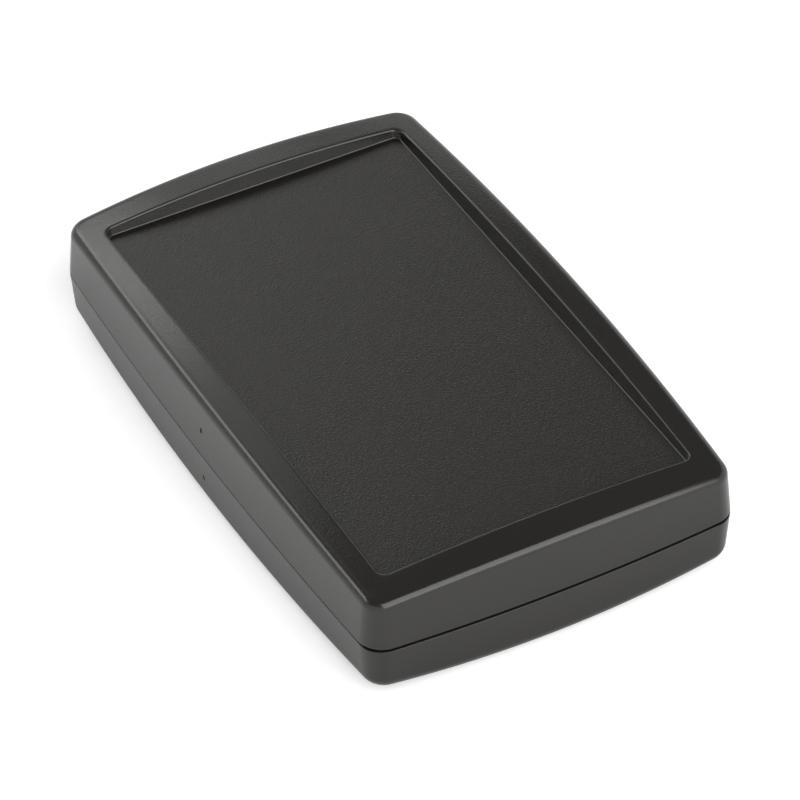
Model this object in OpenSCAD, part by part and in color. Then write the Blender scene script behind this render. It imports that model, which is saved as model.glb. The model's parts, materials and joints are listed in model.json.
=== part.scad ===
// Hand-held electronics enclosure: two moulded halves with bowed sides, a crowned top with a
// flat recess, and four screws driven from below. Millimetres. The case stands on z = 0, its
// length runs along Y and its width along X.

/* [Case] */
// Length over the bowed ends
body_l = 120; // [100:1:180]
// Width over the bowed long sides
body_w = 74; // [64:1:110]
// How far each long side bows out at its middle
side_bow = 1.8; // [0.6:0.1:4]
// How far each end bows out at its middle
end_bow = 1.75; // [0.6:0.05:3.5]
// Radius of the upright corners
corner_r = 4.6; // [4.2:0.1:8]
// Lean of the outer walls away from the parting line, in degrees
wall_draft = 4.5; // [1:0.5:5]
// Thickness of the side walls
wall_t = 2.2; // [1.9:0.1:2.8]

/* [Parting line] */
// Gap between the halves along the long sides
gap_side = 0.2; // [0.1:0.05:0.3]
// Gap between the halves at the ends and round the corners
gap_end = 0.6; // [0.2:0.05:0.8]
// Part of each corner over which the gap widens, in degrees
gap_ramp = 22; // [10:1:60]
// Height of the tongue on the lower half
tongue_h = 1.6; // [1:0.1:2.4]
// Thickness of the tongue
tongue_t = 1; // [0.8:0.1:1.2]
// Play between the tongue and the side of its rebate
tongue_play = 0.15; // [0.1:0.05:0.25]
// Play above the tongue
tongue_top_play = 0.3; // [0.2:0.1:0.6]
// Chamfer that leads the tongue in
tongue_lead = 0.3; // [0.1:0.05:0.4]

/* [Upper half] */
// Height of the crowned top above the parting line, at its centre
crown_h = 13.3; // [13:0.1:18]
// Drop of the crown from its centre to the long sides
crown_drop_side = 2.2; // [0.5:0.1:3]
// Drop of the crown from its centre to the ends
crown_drop_end = 2.05; // [0.5:0.05:3]
// Rounding of the top edge
top_round = 1.5; // [0.5:0.1:2]
// Thickness of the roof
roof_t = 2; // [1.5:0.1:2.4]
// Rounding inside the hollow's top edge
roof_round = 0.8; // [0.4:0.1:1]

/* [Recess] */
// Width of the rim from the long side to the recess floor
rim_side = 7.5; // [6.5:0.5:14]
// Width of the rim from the end to the recess floor
rim_end = 8.5; // [7:0.5:20]
// Height of the recess floor above the parting line
recess_h = 8.8; // [8.4:0.1:9.5]
// Lean of the recess walls, in degrees
recess_lean = 16.5; // [5:0.5:25]
// Corner radius of the recess floor
recess_corner_r = 1.4; // [1:0.1:6]
// Rounding of the recess's upper edge
recess_edge_r = 0.4; // [0.2:0.05:0.6]
// Rounding at the foot of the recess walls
recess_foot_r = 0.3; // [0.1:0.05:0.6]

/* [Lower half] */
// Depth of the lower half, from the parting line to the flat base
base_depth = 12; // [11:0.1:20]
// How much the flat base takes off the crowned underside at its centre
base_cut = 1.7; // [0.8:0.1:2.5]
// Rise of the crowned underside from its centre to the long sides
belly_rise_side = 2.05; // [0.8:0.05:3]
// Rise of the crowned underside from its centre to the ends
belly_rise_end = 2.6; // [0.8:0.1:3.5]
// Rounding of the bottom edge
bottom_round = 2.7; // [1:0.1:3]
// Thickness of the floor
floor_t = 2.2; // [1.8:0.1:3]
// Rounding inside the hollow's bottom edge
floor_round = 1.2; // [0.4:0.1:1.4]

/* [Case screws] */
// Distance from the long side to the screw axis
screw_in_side = 9; // [8.5:0.5:12]
// Distance from the end to the screw axis
screw_in_end = 10; // [9.5:0.5:16]
// Length of a screw under its head
screw_l = 12; // [11:1:12]
// Core diameter of the screw
screw_core_d = 2.4; // [2:0.1:2.6]
// Diameter of the screw head
screw_head_d = 5.5; // [4.5:0.1:6]
// Height of the screw head
screw_head_h = 2; // [1.6:0.1:2.4]
// Length of the cone at the screw's tip
screw_tip_l = 1.6; // [1:0.1:2.5]
// Width of the cross recess's slots
cross_slot_w = 0.7; // [0.5:0.05:0.9]
// Span of the cross recess
cross_span = 3; // [2.4:0.1:3.4]
// Depth of the cross recess
cross_depth = 1.2; // [0.8:0.1:1.4]

/* [Screw posts] */
// How far the posts meet below the parting line
post_joint_drop = 1; // [0.6:0.1:2]
// Length of the lower post above the screw's seat
sleeve_l = 6.5; // [5.5:0.1:7]
// Diameter of the lower posts
lower_post_d = 8.6; // [8:0.1:9]
// Diameter of the upper posts
upper_post_d = 6.4; // [5.5:0.1:7]
// Clearance round the screw head, all round
head_play = 0.35; // [0.2:0.05:0.5]
// Clearance round the screw in the lower post, all round
sleeve_play = 0.4; // [0.2:0.05:0.6]
// Clearance round the screw's core in the upper post, all round
pilot_play = 0.05; // [0.02:0.01:0.1]
// Depth of the pilot hole beyond the screw's tip
pilot_run = 0.8; // [0.3:0.1:1]
// Thickness of the ribs between post and wall
rib_t = 1.2; // [0.8:0.1:2]

/* [Board standoffs] */
// Distance across the case from the screw axis to the lower standoffs
board_in_side = 5; // [2:0.5:10]
// Distance along the case from the screw axis to the lower standoffs
board_in_end = 9; // [8.5:0.5:20]
// Height of the lower standoffs' tops above the base
board_seat_h = 7; // [6:0.1:9]
// Diameter of the lower standoffs
board_post_d = 6; // [5:0.1:7]
// Diameter of the lower standoffs' pilot holes
board_hole_d = 2.2; // [1.6:0.1:2.6]
// Depth of the lower standoffs' pilot holes
board_hole_depth = 4.4; // [3:0.1:4.6]
// Distance across the case from the screw axis to the upper standoffs
key_in_side = 10; // [8:0.5:14]
// Distance along the case from the screw axis to the upper standoffs
key_in_end = 16; // [9:0.5:24]
// Height of the upper standoffs under the roof
key_post_h = 3; // [2:0.1:4]
// Diameter of the upper standoffs
key_post_d = 5; // [4:0.1:6]
// Diameter of the upper standoffs' pilot holes
key_hole_d = 1.8; // [1.2:0.1:2.2]

/* [Colours] */
// Moulded plastic
shell_colour = "#26272a"; // [#26272a, #d9d8d2, #5b5d60]
// Screws
screw_colour = "#b9bcc0"; // [#b9bcc0, #2b2b2d]

/* [Hidden] */

// Divisions of half a long side, a corner and half an end
side_steps = 6;
corner_steps = 8;
end_steps = 5;
// Divisions of a rounded outer edge, of the recess's edge and of an edge out of sight
round_steps = 5;
recess_round_steps = 4;
hidden_round_steps = 2;
bore_fn = 48;
// Cuts reach this far past the face that they open
past = 1;
// Ribs reach this far into the wall that they join
rib_bite = 0.3;

half_w = body_w / 2;
half_l = body_l / 2;
lean_out = tan(wall_draft);
part_h = base_depth;
recess_z = part_h + recess_h;
recess_slope = tan(recess_lean);
joint_z = part_h - post_joint_drop;
seat_z = joint_z - sleeve_l;
screw_x = half_w - screw_in_side;
screw_y = half_l - screw_in_end;
board_x = screw_x - board_in_side;
board_y = screw_y - board_in_end;
key_x = screw_x - key_in_side;
key_y = screw_y - key_in_end;
pilot_r = screw_core_d / 2 + pilot_play;
sleeve_r = screw_core_d / 2 + sleeve_play;
head_bore_r = screw_head_d / 2 + head_play;
tip_z = seat_z + screw_l;
quadrants = [for (i = [-1, 1], j = [-1, 1]) [i, j]];

// The plan is four arcs. Each arc's centre lies on an axis, and a smaller circle that touches
// two neighbours from inside rounds each corner.
side_arc_r = (half_l ^ 2 + side_bow ^ 2) / (2 * side_bow);
end_arc_r = (half_w ^ 2 + end_bow ^ 2) / (2 * end_bow);
side_arc_x = half_w - side_arc_r;
end_arc_y = half_l - end_arc_r;
arc_span = norm([side_arc_x, end_arc_y]);
arc_dir = [-side_arc_x, end_arc_y] / arc_span;
arc_cross = [-arc_dir.y, arc_dir.x];
side_reach = side_arc_r - corner_r;
end_reach = end_arc_r - corner_r;
corner_along = (side_reach ^ 2 - end_reach ^ 2 + arc_span ^ 2) / (2 * arc_span);
corner_across = sqrt(side_reach ^ 2 - corner_along ^ 2);
corner_at = [side_arc_x, 0] + corner_along * arc_dir + corner_across * arc_cross;
side_end_angle = atan2(corner_at.y, corner_at.x - side_arc_x);
end_start_angle = atan2(corner_at.y - end_arc_y, corner_at.x);

// A point of an outline holds its place and its outward normal: [x, y, nx, ny].
function on_arc(centre, r, a) = [centre.x + r * cos(a), centre.y + r * sin(a), cos(a), sin(a)];
// The whole outline, anticlockwise from +X, from its first quarter.
function all_round(q) = let (n = len(q)) concat(
    q,
    [for (i = [n - 2:-1:0]) [-q[i][0], q[i][1], -q[i][2], q[i][3]]],
    [for (i = [1:n - 1]) -q[i]],
    [for (i = [n - 2:-1:1]) [q[i][0], -q[i][1], q[i][2], -q[i][3]]]
);
plan = all_round(concat(
    [for (i = [0:side_steps]) on_arc([side_arc_x, 0], side_arc_r, side_end_angle * i / side_steps)],
    [for (i = [1:corner_steps - 1])
        on_arc(corner_at, corner_r,
            side_end_angle + (end_start_angle - side_end_angle) * i / corner_steps)],
    [for (i = [0:end_steps])
        on_arc([0, end_arc_y], end_arc_r, end_start_angle + (90 - end_start_angle) * i / end_steps)]
));
// The recess floor is a rounded rectangle with as many points.
recess_half = [half_w - rim_side, half_l - rim_end];
recess_corner = recess_half - [recess_corner_r, recess_corner_r];
recess_plan = all_round(concat(
    [for (i = [0:side_steps]) [recess_half.x, recess_corner.y * i / side_steps, 1, 0]],
    [for (i = [1:corner_steps - 1]) on_arc(recess_corner, recess_corner_r, 90 * i / corner_steps)],
    [for (i = [0:end_steps]) [recess_corner.x * (1 - i / end_steps), recess_half.y, 0, 1]]
));

// Where the plan's long side and its end lie, at a distance along them from their middle.
function plan_side_x(y) = side_arc_x + sqrt(side_arc_r ^ 2 - y ^ 2);
function plan_end_y(x) = end_arc_y + sqrt(end_arc_r ^ 2 - x ^ 2);

// Heights of the crowned top and of the crowned underside.
function crown(x, y) =
    part_h + crown_h - crown_drop_side * (x / half_w) ^ 2 - crown_drop_end * (y / half_l) ^ 2;
function belly(x, y) =
    -base_cut + belly_rise_side * (x / half_w) ^ 2 + belly_rise_end * (y / half_l) ^ 2;
// Half of the gap at the parting line, which widens where a corner leaves the long side.
function half_gap(p) = let (
    turned = atan2(abs(p[3]), abs(p[2])) - side_end_angle,
    share = max(0, min(1, turned / gap_ramp))
) (gap_side + (gap_end - gap_side) * share) / 2;

// The outline moved in by d along its normals.
function drawn_in(outline, d) = [for (p = outline) [p[0] - d * p[2], p[1] - d * p[3]]];
function at_height(points, z) = [for (p = points) [p.x, p.y, z]];
function blend(a, b, t) = a * (1 - t) + b * t;
function steps(n, from, to) = [for (i = [0:n]) from + (to - from) * i / n];

// One ring of a rounded top edge under the surface top_at, for the angle a that the edge has
// turned through. inset is how far the wall stands in from the plan at the parting line.
function top_edge_ring(a, r, inset, drop) = [for (p = plan) let (
    start_z = crown(p[0], p[1]) - drop - r * (1 - sin(wall_draft)),
    d = inset + lean_out * (start_z - part_h) + r * (cos(wall_draft) - cos(a)),
    x = p[0] - d * p[2],
    y = p[1] - d * p[3]
) [x, y, crown(x, y) - drop - r * (1 - sin(a))]];
// The same for a rounded bottom edge over the underside raised by rise. Nothing reaches below
// the flat middle of the underside.
function bottom_edge_ring(a, r, inset, rise) = [for (p = plan) let (
    start_z = belly(p[0], p[1]) + rise + r * (1 - sin(wall_draft)),
    d = inset + lean_out * (part_h - start_z) + r * (cos(wall_draft) - cos(a)),
    x = p[0] - d * p[2],
    y = p[1] - d * p[3]
) [x, y, max(rise, belly(x, y) + rise + r * (1 - sin(a)))]];
// Two rings inside a bottom edge: the line where the crown meets the flat, which stays inside
// the edge by a small share, and a ring halfway out from there.
function flat_share(p) = min(0.98,
    sqrt(base_cut / (belly_rise_side * (p.x / half_w) ^ 2 + belly_rise_end * (p.y / half_l) ^ 2)));
function underside_rings(edge, rise) = [for (t = [0, 0.5]) [for (p = edge) let (
    s = blend(flat_share(p), 1, t)
) [s * p.x, s * p.y, rise + max(0, belly(s * p.x, s * p.y))]]];

// The recess wall leans out from its foot until it meets the crown. Its rounded upper edge
// starts on the crown and turns down into the wall.
function wall_top(p, h, n) = n == 0 ? h :
    wall_top(p, crown(p[0] + p[2] * h * recess_slope, p[1] + p[3] * h * recess_slope) - recess_z, n - 1);
recess_turn = 90 - recess_lean;
recess_edge_run = recess_edge_r * tan(recess_turn / 2);
recess_foot_run = recess_foot_r * tan(recess_turn / 2);
function recess_edge_ring(a) = [for (p = recess_plan) let (
    out = wall_top(p, 2, 4) * recess_slope + recess_edge_run - recess_edge_r * sin(a),
    x = p[0] + out * p[2],
    y = p[1] + out * p[3]
) [x, y, crown(x, y) - recess_edge_r * (1 - cos(a))]];
function recess_foot_ring(a) = at_height(
    drawn_in(recess_plan, recess_foot_run - recess_foot_r * sin(a)),
    recess_z + recess_foot_r * (1 - cos(a)));

// A closed solid through rings of equal length, from a point at one end to a point at the other.
module loft(first, rings, last) {
    n = len(rings[0]);
    m = len(rings);
    function at(k, i) = 1 + k * n + i % n;
    polyhedron(
        points = concat([first], [for (r = rings) each r], [last]),
        faces = concat(
            [for (i = [0:n - 1]) [0, at(0, i), at(0, i + 1)]],
            [for (k = [0:m - 2], i = [0:n - 1]) each [
                [at(k, i), at(k + 1, i), at(k + 1, i + 1)],
                [at(k, i), at(k + 1, i + 1), at(k, i + 1)]
            ]],
            [for (i = [0:n - 1]) [1 + m * n, at(m - 1, i + 1), at(m - 1, i)]]
        ),
        convexity = 6
    );
}

// The same shape at each of the four corners, mirrored from the +X +Y one.
module at_each(x, y, z) {
    for (q = quadrants) translate([q.x * x, q.y * y, z]) children();
}

// A rib standing on its outline, which is drawn in the plane of the rib: distance from the
// case's middle, then height. It is set across the case or along it, on all four corners.
module rib(outline, across, aside) {
    for (q = quadrants) mirror([q.x < 0 ? 1 : 0, 0, 0]) mirror([0, q.y < 0 ? 1 : 0, 0])
        if (across)
            translate([0, aside + rib_t / 2, 0]) rotate([90, 0, 0]) linear_extrude(rib_t) polygon(outline);
        else
            translate([aside - rib_t / 2, 0, 0]) rotate([90, 0, 90]) linear_extrude(rib_t) polygon(outline);
}

// The upper moulding without its posts, from the middle of the roof's underside, out and down
// the inside of the wall, round the lip, up the outside and into the recess.
module upper_moulding() {
    backing = [for (z = [0, 1]) backing_ring(z)];
    hollow_edge = [for (a = steps(hidden_round_steps, 90, wall_draft))
        top_edge_ring(a, roof_round, wall_t, roof_t)];
    rebate_inset = wall_t - tongue_t - tongue_play;
    rebate_z = part_h + tongue_h + tongue_top_play;
    rebate = [for (d = [wall_t + lean_out * (rebate_z - part_h), rebate_inset])
        at_height(drawn_in(plan, d), rebate_z)];
    edge = [for (a = steps(round_steps, wall_draft, 90)) top_edge_ring(a, top_round, 0, 0)];
    recess_edge = [for (a = steps(recess_round_steps, 0, recess_turn)) recess_edge_ring(a)];
    rim = [for (t = [1, 2] / 3) [for (i = [0:len(plan) - 1]) let (
        p = blend(edge[round_steps][i], recess_edge[0][i], t)
    ) [p.x, p.y, crown(p.x, p.y)]]];
    recess_foot = [for (a = steps(hidden_round_steps, recess_turn, 0)) recess_foot_ring(a)];
    loft([0, 0, recess_z - roof_t],
        concat(backing, hollow_edge, rebate, [lip_ring(rebate_inset, 1), lip_ring(0, 1)],
            edge, rim, recess_edge, recess_foot),
        [0, 0, recess_z]);
}

// The plastic that backs the recess: its foot under the floor, and where it meets the roof.
function backing_out(z) = roof_t / cos(recess_lean) + (z - recess_z) * recess_slope;
function backing_top(p, z, n) = n == 0 ? z : backing_top(p,
    crown(p[0] + p[2] * backing_out(z), p[1] + p[3] * backing_out(z)) - roof_t, n - 1);
function backing_ring(share) = [for (p = recess_plan) let (
    z = share == 0 ? recess_z - roof_t : backing_top(p, recess_z, 4)
) [p[0] + p[2] * backing_out(z), p[1] + p[3] * backing_out(z), z]];

// The lip at the parting line, drawn in by d, above the line for side 1 and below for side -1.
function lip_ring(d, side) =
    [for (p = plan) [p[0] - d * p[2], p[1] - d * p[3], part_h + side * half_gap(p)]];

// The lower moulding without its posts, from the middle of the base, round the edge, up the
// outside, over the tongue and down the inside to the floor.
module lower_moulding() {
    edge = [for (a = steps(round_steps, 90, wall_draft)) bottom_edge_ring(a, bottom_round, 0, 0)];
    tongue_inset = wall_t - tongue_t;
    tongue_top = part_h + tongue_h;
    tongue = [
        at_height(drawn_in(plan, tongue_inset), tongue_top - tongue_lead),
        at_height(drawn_in(plan, tongue_inset + tongue_lead), tongue_top),
        at_height(drawn_in(plan, wall_t), tongue_top),
        at_height(drawn_in(plan, wall_t), part_h)
    ];
    hollow_edge = [for (a = steps(hidden_round_steps, wall_draft, 90))
        bottom_edge_ring(a, floor_round, wall_t, floor_t)];
    floor_rings = underside_rings(hollow_edge[hidden_round_steps], floor_t);
    loft([0, 0, 0],
        concat(underside_rings(edge[0], 0), edge, [lip_ring(0, -1), lip_ring(tongue_inset, -1)],
            tongue, hollow_edge, [floor_rings[1], floor_rings[0]]),
        [0, 0, floor_t]);
}

// Ribs under the roof, from each post to the long side and to the end beside it.
module upper_ribs() {
    low = part_h + tongue_h + tongue_top_play;
    root = recess_z - roof_t / 2;
    side_x = plan_side_x(screw_y) - wall_t;
    end_y = plan_end_y(screw_x) - wall_t;
    back_x = recess_half.x + backing_out(recess_z);
    back_y = recess_half.y + backing_out(recess_z);
    rib([[screw_x, low], [side_x, low], [side_x, crown(side_x, screw_y) - roof_t / 2],
        [back_x, crown(back_x, screw_y) - roof_t / 2], [screw_x, root]], true, screw_y);
    rib([[screw_y, low], [end_y, low], [end_y, crown(screw_x, end_y) - roof_t / 2],
        [back_y, crown(screw_x, back_y) - roof_t / 2], [screw_y, root]], false, screw_x);
}

// Ribs on the floor, with their outer feet cut back to follow the rounded edge.
module lower_ribs() {
    foot = belly(screw_x, screw_y) + floor_t / 2;
    high = joint_z - tongue_h;
    side_x = plan_side_x(screw_y) - wall_t + rib_bite;
    end_y = plan_end_y(screw_x) - wall_t + rib_bite;
    rib([[screw_x, foot], [side_x - bottom_round, foot], [side_x, foot + bottom_round],
        [side_x, high], [screw_x, high]], true, screw_y);
    rib([[screw_y, foot], [end_y - bottom_round, foot], [end_y, foot + bottom_round],
        [end_y, high], [screw_y, high]], false, screw_x);
}

module upper_shell() {
    roof_z = recess_z - roof_t;
    root = recess_z - roof_t / 2;
    color(shell_colour) difference() {
        union() {
            upper_moulding();
            at_each(screw_x, screw_y, joint_z) cylinder(h = root - joint_z, d = upper_post_d, $fn = bore_fn);
            at_each(key_x, key_y, roof_z - key_post_h)
                cylinder(h = key_post_h + roof_t / 2, d = key_post_d, $fn = bore_fn);
            upper_ribs();
        }
        at_each(screw_x, screw_y, joint_z - past)
            cylinder(h = tip_z + pilot_run - joint_z + past, r = pilot_r, $fn = bore_fn);
        at_each(key_x, key_y, roof_z - key_post_h - past)
            cylinder(h = key_post_h + past + roof_t / 2, d = key_hole_d, $fn = bore_fn);
    }
}

module lower_shell() {
    post_foot = belly(screw_x, screw_y) + floor_t / 2;
    board_foot = max(0, belly(board_x, board_y)) + floor_t / 2;
    color(shell_colour) difference() {
        union() {
            lower_moulding();
            at_each(screw_x, screw_y, post_foot)
                cylinder(h = joint_z - post_foot, d = lower_post_d, $fn = bore_fn);
            at_each(board_x, board_y, board_foot)
                cylinder(h = board_seat_h - board_foot, d = board_post_d, $fn = bore_fn);
            lower_ribs();
        }
        at_each(screw_x, screw_y, -past) cylinder(h = seat_z + past, r = head_bore_r, $fn = bore_fn);
        at_each(screw_x, screw_y, seat_z - past)
            cylinder(h = sleeve_l + 2 * past, r = sleeve_r, $fn = bore_fn);
        at_each(board_x, board_y, board_seat_h - board_hole_depth)
            cylinder(h = board_hole_depth + past, d = board_hole_d, $fn = bore_fn);
    }
}

// A pan-head screw, head down, with its seat at z = 0 and its tip up.
module case_screw() {
    head_r = screw_head_d / 2;
    core_r = screw_core_d / 2;
    dome = screw_head_h * 0.6;
    color(screw_colour) difference() {
        rotate_extrude($fn = bore_fn) polygon(concat(
            [[0, -screw_head_h]],
            [for (a = [60:-15:0])
                [head_r - dome * 0.5 * (1 - cos(a)), dome - screw_head_h - dome * sin(a) / sin(60)]],
            [[head_r, 0], [core_r, 0], [core_r, screw_l - screw_tip_l], [0, screw_l]]
        ));
        for (a = [0, 90]) rotate([0, 0, a])
            translate([-cross_span / 2, -cross_slot_w / 2, -screw_head_h - past])
                cube([cross_span, cross_slot_w, cross_depth + past]);
    }
}

upper_shell();
lower_shell();
for (i = [0:3])
    translate([quadrants[i].x * screw_x, quadrants[i].y * screw_y, seat_z]) case_screw();
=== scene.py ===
"""Dresses a two-half hand-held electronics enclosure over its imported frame, in metres."""
import json
import math
from operator import attrgetter

import bpy
from bpy.props import FloatProperty, FloatVectorProperty, IntProperty, PointerProperty
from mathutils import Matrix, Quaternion, Vector


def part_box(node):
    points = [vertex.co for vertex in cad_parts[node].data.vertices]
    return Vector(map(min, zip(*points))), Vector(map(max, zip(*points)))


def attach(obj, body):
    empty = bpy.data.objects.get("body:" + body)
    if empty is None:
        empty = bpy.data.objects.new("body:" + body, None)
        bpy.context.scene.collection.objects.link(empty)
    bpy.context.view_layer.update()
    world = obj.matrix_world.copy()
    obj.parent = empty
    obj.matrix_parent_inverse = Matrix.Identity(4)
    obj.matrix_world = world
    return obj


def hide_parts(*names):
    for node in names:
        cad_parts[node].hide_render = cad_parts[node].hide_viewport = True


bl_info = {
    "name": "Two-half hand-held enclosure",
    "version": (1, 0, 0),
    "blender": (4, 5, 0),
    "location": "3D View > Sidebar > Enclosure",
    "description": "Builds the two moulded halves, their screws and a plain studio round them",
    "category": "Add Mesh",
}

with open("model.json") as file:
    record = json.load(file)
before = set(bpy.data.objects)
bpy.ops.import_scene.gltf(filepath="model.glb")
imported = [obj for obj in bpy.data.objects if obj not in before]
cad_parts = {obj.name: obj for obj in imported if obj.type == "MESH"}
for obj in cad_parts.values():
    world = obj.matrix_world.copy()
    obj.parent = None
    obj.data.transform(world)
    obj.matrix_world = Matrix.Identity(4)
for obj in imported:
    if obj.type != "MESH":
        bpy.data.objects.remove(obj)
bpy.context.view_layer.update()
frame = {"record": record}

MM = 0.001
BODY = "root"
SCREW_NODES = [f"case_screw_{i}" for i in range(1, 5)]
UPPER_LOW, UPPER_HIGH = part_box("upper_shell")
LOWER_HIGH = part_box("lower_shell")[1]
SCREW_LOW, SCREW_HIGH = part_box(SCREW_NODES[0])
# How far each screw is from the middle, across and along.
SCREW_X, SCREW_Y = [abs(v) for v in ((SCREW_LOW + SCREW_HIGH) / 2)[:2]]
MOUNTS = {mount["name"]: mount for mount in frame["record"]["mounts"]}

# The tongue's height over the parting line, a screw head's height, and what a pilot hole is
# deeper than its screw.
TONGUE_RISE, HEAD_HEIGHT, PILOT_SPARE = 1.6 * MM, 2 * MM, 0.8 * MM
# Half a rib's thickness, how far its top is under the recess or the post's top, and how far
# it goes into the lower half's wall.
HALF_RIB, UPPER_RIB_DROP, LOWER_RIB_DROP, RIB_DIG = 0.6 * MM, 0.2 * MM, 1.6 * MM, 0.3 * MM
# How far a tool that cuts goes past the face that it opens.
REACH = 1 * MM
# A gate mark's place along the side, and its half sizes.
GATE_Y, GATE_SIZE = 0.55 * MM, (0.35 * MM, 0.33 * MM, 0.6 * MM)

QUARTER = math.pi / 2
GRAIN = "grain"
# Points closer than this are one point of a moulding.
WELD = 0.003 * MM
# How strongly a flat band's inner rows crowd towards its edges, which keeps its shading flat.
CROWD = 0.35
# Faces that meet at more than this have a sharp edge.
CREASE = math.radians(32)
# Sides of a round post or bore, and of a screw.
POST_SIDES, SCREW_SIDES = 64, 40


# Sizes and finishes that the sidebar shows.

def setting(kind=FloatProperty, scale=1, **looks):
    """A function that makes one kind of setting, with its default times scale."""
    def make(name, description, default):
        return kind(name=name, description=description, default=default * scale, **looks)
    return make


# A length in millimetres and in metres, an angle in degrees, and so on.
length = setting(scale=MM, unit="LENGTH", precision=5)
metres = setting(unit="LENGTH", precision=5)
angle = setting(scale=math.radians(1), subtype="ANGLE")
share = setting(min=0, max=1, subtype="FACTOR")
power = setting(unit="POWER")
lens = setting(unit="CAMERA")
count = setting(IntProperty, min=4)
colour = setting(FloatVectorProperty, min=0, max=1, size=3, subtype="COLOR")
spot = setting(FloatVectorProperty, size=3, subtype="TRANSLATION")
facing = setting(FloatVectorProperty, size=3, subtype="EULER")
width_and_height = setting(FloatVectorProperty, size=2, subtype="XYZ_LENGTH")


class EnclosurePlan(bpy.types.PropertyGroup):
    """What both halves share: the outline, the walls and the parting line."""

    half_width: metres("Half width", "From the middle to a long side", UPPER_HIGH.x)
    half_length: metres("Half length", "From the middle to an end", UPPER_HIGH.y)
    side_bow: length("Side bow", "How far each long side bows out", 1.8)
    end_bow: length("End bow", "How far each end bows out", 1.75)
    corner_radius: length("Corner radius", "Radius of the upright corners", 4.6)
    wall_lean: angle("Wall lean", "Lean of the walls away from the parting line", 4.5)
    wall: length("Wall thickness", "Thickness of the side walls", 2.2)
    parting: metres("Parting height", "Height of the parting line", LOWER_HIGH.z - TONGUE_RISE)
    side_gap: length("Side gap", "Gap between the halves along the long sides", 0.2)
    end_gap: length("End gap", "Gap between the halves at the ends", 0.6)
    gap_turn: angle("Gap ramp", "Part of each corner over which the gap widens", 22)
    lip_round: length("Lip rounding", "Rounding of the lips at the parting line", 0.1)
    tongue: length("Tongue thickness", "Thickness of the tongue on the lower half", 1.0)
    post_end: metres("Post end", "Height where the screw posts meet", UPPER_LOW.z)
    side_parts: count("Side parts", "Divisions of half a long side", 32)
    corner_parts: count("Corner parts", "Divisions of a corner", 26)
    end_parts: count("End parts", "Divisions of half an end", 24)


class EnclosureUpper(bpy.types.PropertyGroup):
    """The upper half: its crown, its recess and what stands under its roof."""

    crown: length("Crown height", "Crown above the parting line, at the middle", 13.3)
    side_drop: length("Side drop", "Drop of the crown to the long sides", 2.2)
    end_drop: length("End drop", "Drop of the crown to the ends", 2.05)
    top_round: length("Top rounding", "Rounding of the top edge", 1.5)
    roof: length("Roof thickness", "Thickness of the roof", 2.0)
    roof_round: length("Roof rounding", "Rounding inside the roof's edge", 0.8)
    recess_height: metres("Recess height", "Height of the recess's floor",
                          MOUNTS["panel_recess"]["pos_m"][2])
    rim_side: length("Rim at a side", "From a long side to the recess's floor", 7.5)
    rim_end: length("Rim at an end", "From an end to the recess's floor", 8.5)
    recess_corner: length("Recess corner", "Corner radius of the recess's floor", 1.4)
    recess_lean: angle("Recess lean", "Lean of the recess's walls", 16.5)
    recess_edge: length("Recess edge", "Rounding of the recess's upper edge", 0.4)
    recess_foot: length("Recess foot", "Rounding at the foot of the recess's walls", 0.3)
    rebate: length("Rebate height", "Height of the rebate that takes the tongue", 1.9)
    tongue_play: length("Tongue play", "Play beside the tongue", 0.15)
    pilot_radius: length("Pilot radius", "Radius of a screw's pilot hole", 1.25)
    pilot_top: metres("Pilot top", "Height where a pilot hole ends", SCREW_HIGH.z + PILOT_SPARE)


class EnclosureLower(bpy.types.PropertyGroup):
    """The lower half: its crowned underside and what stands on its floor."""

    base_cut: length("Base cut", "What the flat base takes off the crown", 1.7)
    side_rise: length("Side rise", "Rise of the underside to the long sides", 2.05)
    end_rise: length("End rise", "Rise of the underside to the ends", 2.6)
    bottom_round: length("Bottom rounding", "Rounding of the bottom edge", 2.7)
    floor: length("Floor thickness", "Thickness of the floor", 2.2)
    floor_round: length("Floor rounding", "Rounding inside the floor's edge", 1.2)
    tongue_top: metres("Tongue top", "Height of the tongue's top", LOWER_HIGH.z)
    tongue_lead: length("Tongue lead", "Chamfer that leads the tongue in", 0.3)
    sleeve_radius: length("Sleeve radius", "Radius of the hole for a screw's shank", 1.6)
    seat: metres("Seat height", "Height of the seat under a head", SCREW_LOW.z + HEAD_HEIGHT)
    head_bore: length("Head bore", "Radius of the bore for a screw's head", 3.1)
    bore_lead: length("Bore lead", "Softened edge at the mouth of a head bore", 0.25)
    standoff_depth: length("Standoff depth", "Depth of a standoff's hole", 4.4)


def half_settings(mount, post_radius, standoff_radius, gate_height):
    """What each half has of its own: screw posts, the standoffs of a mount, a gate mark."""
    dims = mount["dims"]
    return {
        "post_radius": length("Post radius", "Radius of a screw post", post_radius),
        "standoff_end": metres("Standoff end", "Height of the standoffs' ends",
                               mount["pos_m"][2]),
        "standoff_x": length("Standoff across", "From the middle across to a standoff",
                             dims["spacing_x_mm"] / 2),
        "standoff_y": length("Standoff along", "From the middle along to a standoff",
                             dims["spacing_y_mm"] / 2),
        "standoff_radius": length("Standoff radius", "Radius of a standoff", standoff_radius),
        "standoff_hole": length("Standoff hole", "Radius of a standoff's hole",
                                dims["hole_r_mm"]),
        "gate_height": length("Gate mark height", "Height of the mark that the gate left",
                              gate_height),
    }


EnclosureUpper.__annotations__.update(half_settings(MOUNTS["key_standoffs"], 3.2, 2.5, 17.05))
EnclosureLower.__annotations__.update(half_settings(MOUNTS["board_standoffs"], 4.3, 3.0, 6.22))


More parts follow.
